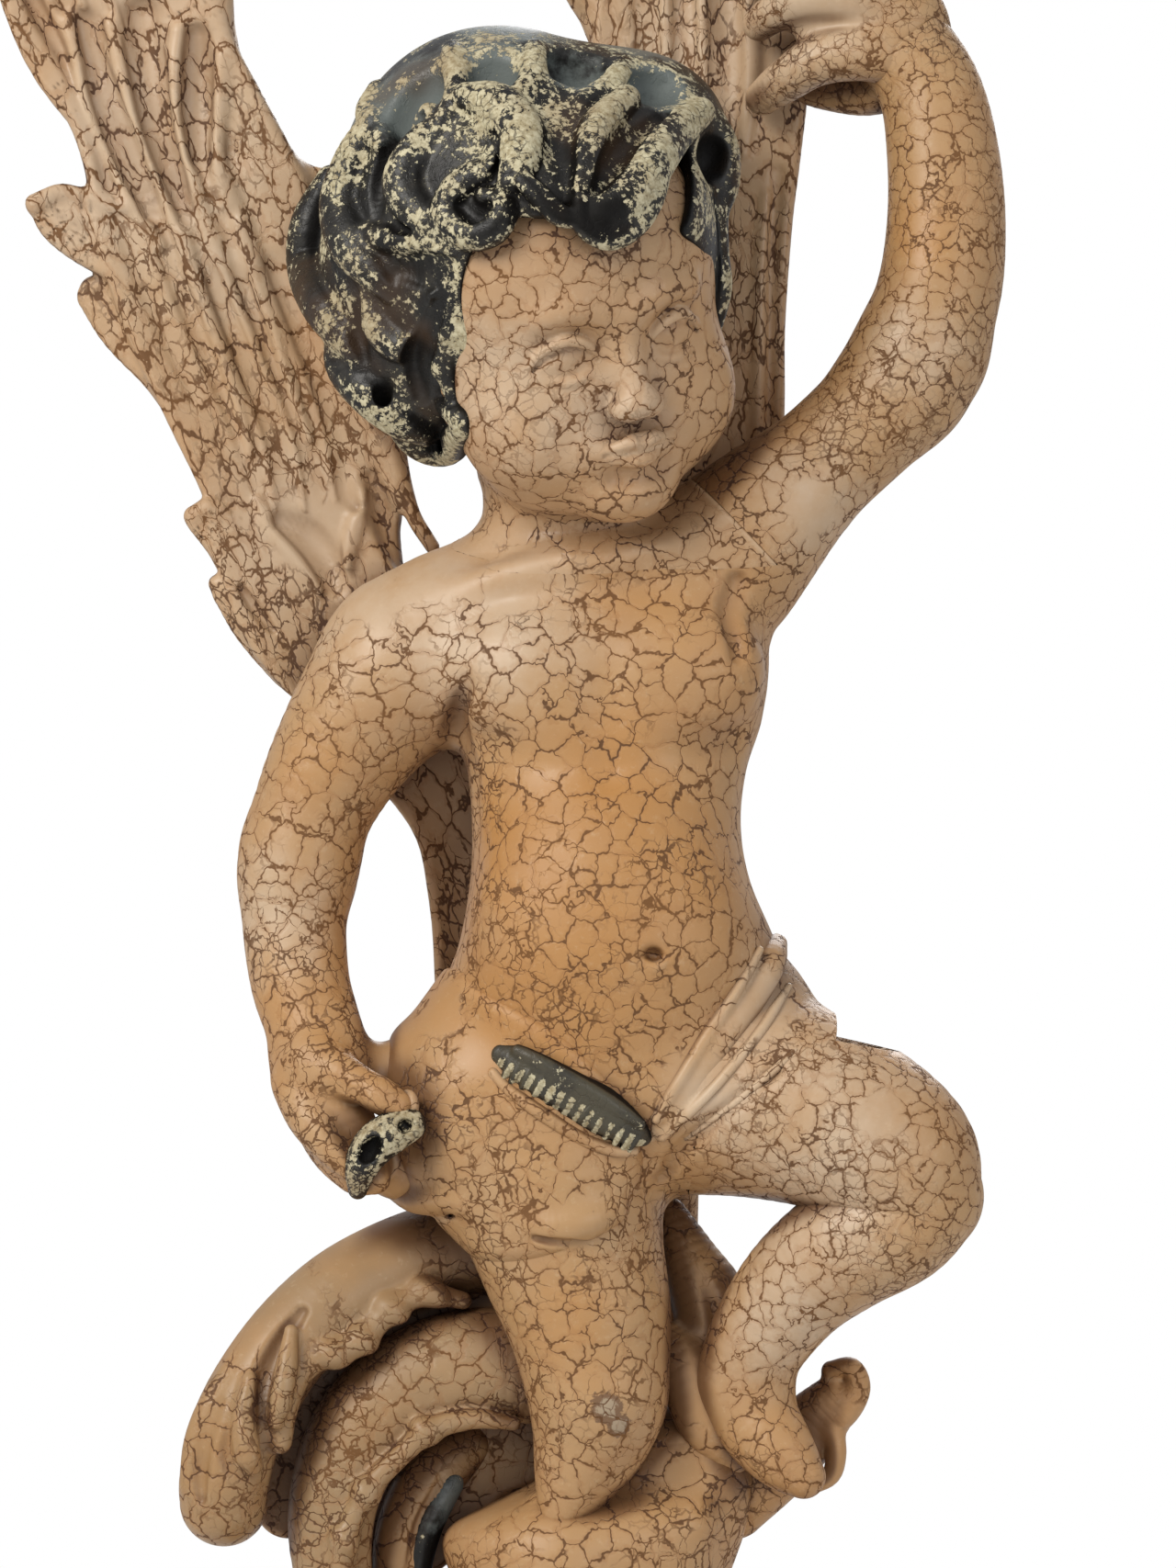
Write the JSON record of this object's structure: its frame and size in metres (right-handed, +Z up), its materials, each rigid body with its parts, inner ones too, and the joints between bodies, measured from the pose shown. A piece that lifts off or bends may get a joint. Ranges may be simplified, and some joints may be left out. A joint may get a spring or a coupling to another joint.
{
  "type": "carved putto ornament",
  "caption": "Carved, gessoed and painted child figure with one raised arm, standing among acanthus fronds and scrolled leaves on a turned, moulded base, in crackled paint.",
  "frame": {"origin": "centre of the underside of the base, on the surface that it stands on", "axes": "+Z up along the figure, the figure's front faces -Y, +X is its left hand's side"},
  "size_m": [0.2856, 0.15, 0.6009],
  "materials": {
    "carved_paint": "crackled satin paint over gesso",
    "dark_paint": "worn dark paint over cream gesso",
    "base_wood": "painted and rubbed, satin",
    "dowel_wood": "bare beech",
    "steel": "plain",
    "felt": "wool felt"
  },
  "bodies": {
    "root": {"base_felt": "felt", "plinth_slab": "base_wood", "plinth_moulding": "base_wood", "turned_socle": "base_wood", "leaf_collar": "carved_paint", "console_block": "carved_paint", "tie_rod": "steel", "rod_washer": "steel", "rod_nut": "steel", "back_trunk": "carved_paint", "left_frond": "carved_paint", "right_frond": "carved_paint", "outer_scroll_leaf": "carved_paint", "inner_scroll_leaf": "carved_paint", "dark_tendril": "dark_paint", "foot_leaf": "carved_paint", "torso_block": "carved_paint", "head_block": "carved_paint", "hair_relief": "dark_paint", "raised_arm": "carved_paint", "raised_hand": "carved_paint", "lowered_arm": "carved_paint", "standing_leg": "carved_paint", "bent_thigh": "carved_paint", "bent_shin": "carved_paint", "loincloth_band": "carved_paint", "loincloth_drape": "carved_paint", "hem_roll": "dark_paint", "hand_roll": "dark_paint", "neck_dowel": "dowel_wood", "raised_shoulder_dowel": "dowel_wood", "lowered_shoulder_dowel": "dowel_wood", "wrist_dowel": "dowel_wood", "standing_hip_dowel": "dowel_wood", "bent_hip_dowel": "dowel_wood", "knee_dowel": "dowel_wood", "scroll_dowels": "dowel_wood", "frond_screws": "steel", "trunk_screws": "steel"}
  },
  "joints": []
}
